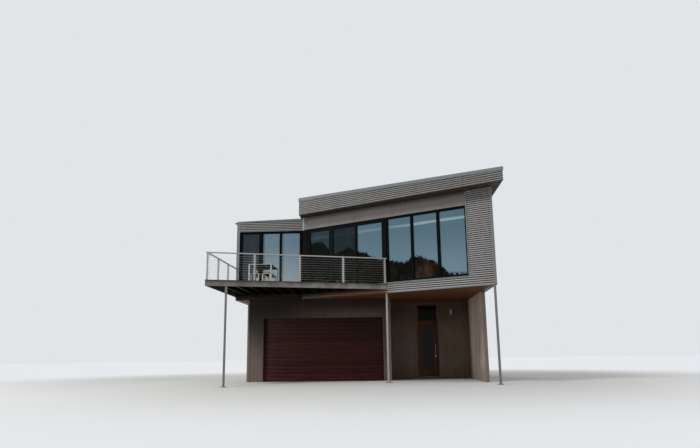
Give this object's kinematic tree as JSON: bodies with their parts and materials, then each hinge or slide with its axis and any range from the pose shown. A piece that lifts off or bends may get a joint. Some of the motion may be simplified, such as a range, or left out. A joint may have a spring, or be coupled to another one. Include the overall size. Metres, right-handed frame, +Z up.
{
  "type": "beach house",
  "caption": "Beach house with a garage below, an angled glazed upper wing clad in corrugated steel, a raised deck with cable balustrade and low pitched roofs.",
  "frame": {"origin": "on the ground under the middle of the whole outline", "axes": "+Z up; the garage door and the deck face -Y; +X to the right as seen from the front"},
  "size_m": [10.6118, 13.6206, 7.5974],
  "materials": {
    "concrete": "floated concrete",
    "grooved_boards": "painted vertical-groove boards",
    "door_timber": "stained boards, satin",
    "entry_timber": "oiled timber",
    "glass": "clear double glazing",
    "steel": "brushed",
    "lining_boards": "stained lining sheets",
    "floor_timber": "raw timber framing and flooring",
    "corrugated_steel": "corrugated, baked enamel",
    "band_boards": "painted smooth sheets",
    "dark_aluminium": "powder coated, satin",
    "roof_steel": "corrugated, baked enamel",
    "trim_steel": "folded flashing, baked enamel",
    "eave_boards": "painted sheets",
    "deck_timber": "weathered hardwood",
    "joist_timber": "treated pine",
    "rim_timber": "painted timber",
    "galvanised_steel": "hot-dip galvanised, dull",
    "stainless_wire": "stranded stainless",
    "white_metal": "powder coated, matt white",
    "slat_timber": "stained slats"
  },
  "bodies": {
    "house": {"ground_slab": "concrete", "front_wall_left_pier": "grooved_boards", "front_wall_over_garage": "grooved_boards", "front_wall_right_pier": "grooved_boards", "porch_side_wall": "grooved_boards", "entry_wall_left": "grooved_boards", "entry_wall_over_door": "grooved_boards", "entry_wall_right": "grooved_boards", "fin_wall": "grooved_boards", "right_wall_lower": "grooved_boards", "left_wall_lower": "grooved_boards", "back_wall_lower": "grooved_boards", "garage_door": "door_timber", "entry_frame": "entry_timber", "soffit_lining": "lining_boards", "upper_floor": "floor_timber", "left_front_apron": "corrugated_steel", "wing_apron": "corrugated_steel", "wing_end_wall": "corrugated_steel", "wing_head_band": "band_boards", "wing_posts": "dark_aluminium", "left_front_band": "corrugated_steel", "left_wall_upper": "corrugated_steel", "right_wall_upper": "corrugated_steel", "back_wall_upper": "corrugated_steel", "wing_door_frame": "dark_aluminium", "wing_window_frame": "dark_aluminium", "left_window_frame": "dark_aluminium", "side_window_frames": "dark_aluminium", "wing_glass": "glass", "left_window_glass": "glass", "side_window_glass": "glass", "low_roof": "roof_steel", "low_roof_gutter": "trim_steel", "high_roof_soffit": "eave_boards", "high_roof_fascia": "corrugated_steel", "high_roof_sheet": "roof_steel", "high_roof_cap": "trim_steel", "deck_boards": "deck_timber", "deck_joists": "joist_timber", "deck_rim": "rim_timber", "ground_posts": "galvanised_steel", "balustrade_posts": "galvanised_steel", "front_rail": "galvanised_steel", "side_rail": "galvanised_steel", "front_cables": "stainless_wire", "side_cables": "stainless_wire", "deck_table_frame": "white_metal", "deck_table_top": "slat_timber", "deck_benches": "white_metal"},
    "entry_door": {"entry_leaf": "entry_timber", "entry_leaf_glass": "glass", "entry_handle": "steel", "entry_hinges": "steel"}
  },
  "joints": [
    {"name": "entry_door_hinge", "type": "hinge", "parent": "house", "child": "entry_door", "pos_m": [2.57411, 0.65661, 1.2], "axis": [0, 0, 1], "range_deg": [0, 90]}
  ]
}
